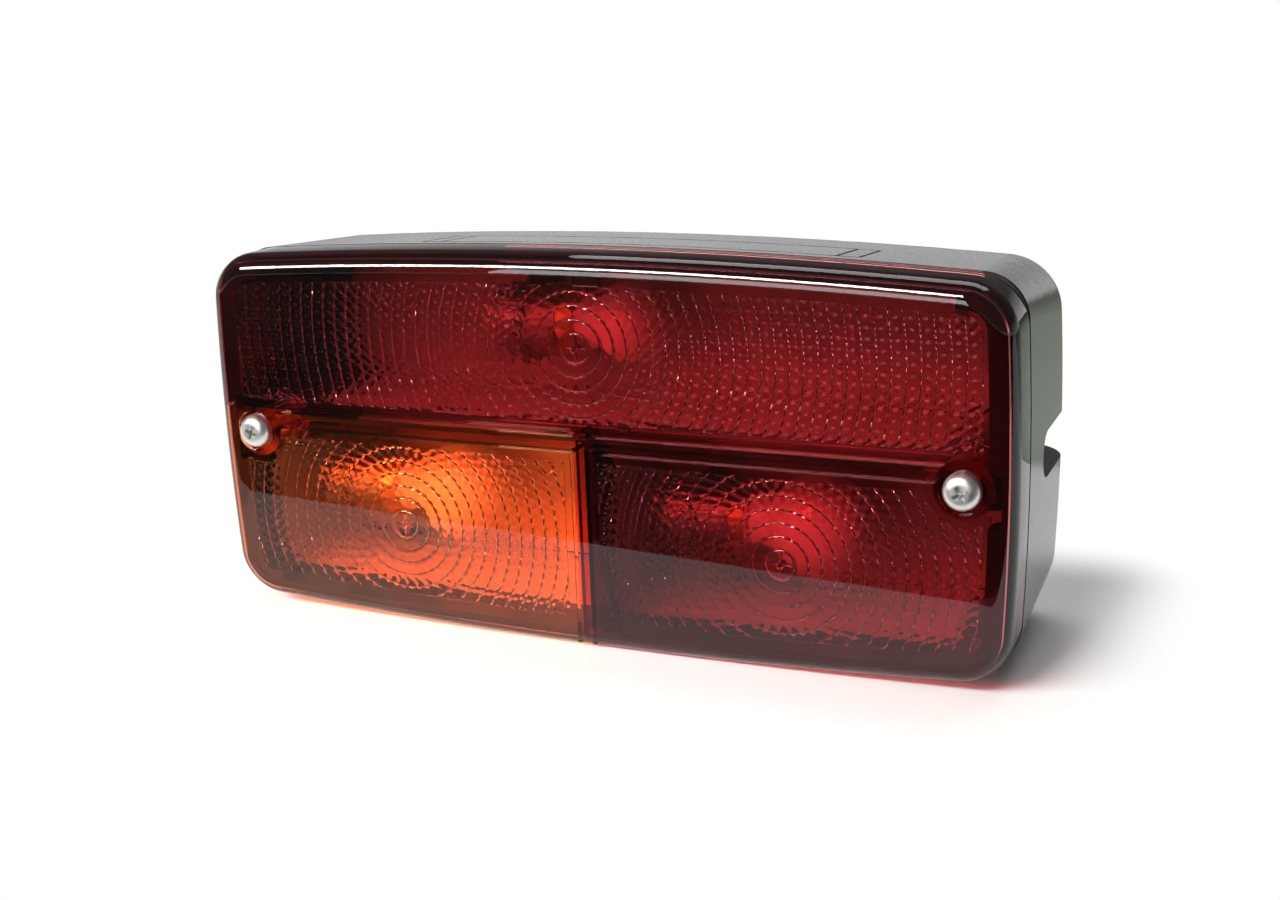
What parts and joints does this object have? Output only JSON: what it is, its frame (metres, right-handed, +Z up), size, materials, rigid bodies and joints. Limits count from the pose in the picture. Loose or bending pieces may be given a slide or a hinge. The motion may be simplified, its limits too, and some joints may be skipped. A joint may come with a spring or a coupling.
{
  "type": "rear lamp cluster",
  "caption": "Rectangular rear lamp with a red and amber ring-optic lens screwed on a black moulded housing, with bulb chambers for tail, stop and direction lights and studs on the back.",
  "frame": {"origin": "middle of the flat rear mounting face, midway between the two studs", "axes": "+Z up as fitted, +X to the right seen from behind the vehicle facing the lens, the lens faces -Y and the studs point along +Y"},
  "size_m": [0.195, 0.0799, 0.091],
  "materials": {
    "black_plastic": "moulded, satin to gloss",
    "red_acrylic": "clear red acrylic, polished",
    "amber_acrylic": "clear amber acrylic, polished",
    "black_rubber": "matt",
    "zinc_steel": "bright zinc plated",
    "bright_plate": "bright, slightly diffuse",
    "brown_laminate": "pressed laminate",
    "contact_brass": "plain",
    "bulb_glass": "clear glass on a brass cap"
  },
  "bodies": {
    "root": {"housing": "black_plastic", "lens_red": "red_acrylic", "lens_amber": "amber_acrylic", "lens_gasket": "black_rubber", "lens_screws": "zinc_steel", "mounting_studs": "zinc_steel", "cable_grommet": "black_rubber", "holder_rivets": "zinc_steel", "plate_screws": "zinc_steel", "reflector_tail": "bright_plate", "reflector_indicator": "bright_plate", "reflector_stop": "bright_plate", "holder_bracket_tail": "zinc_steel", "holder_bracket_indicator": "zinc_steel", "holder_bracket_stop": "zinc_steel", "holder_shell_tail": "zinc_steel", "holder_shell_indicator": "zinc_steel", "holder_shell_stop": "zinc_steel", "insulator_tail": "brown_laminate", "insulator_indicator": "brown_laminate", "insulator_stop": "brown_laminate", "contact_tail": "contact_brass", "contact_indicator": "contact_brass", "contact_stop": "contact_brass", "bulb_tail": "bulb_glass", "bulb_indicator": "bulb_glass", "bulb_stop": "bulb_glass"}
  },
  "joints": []
}
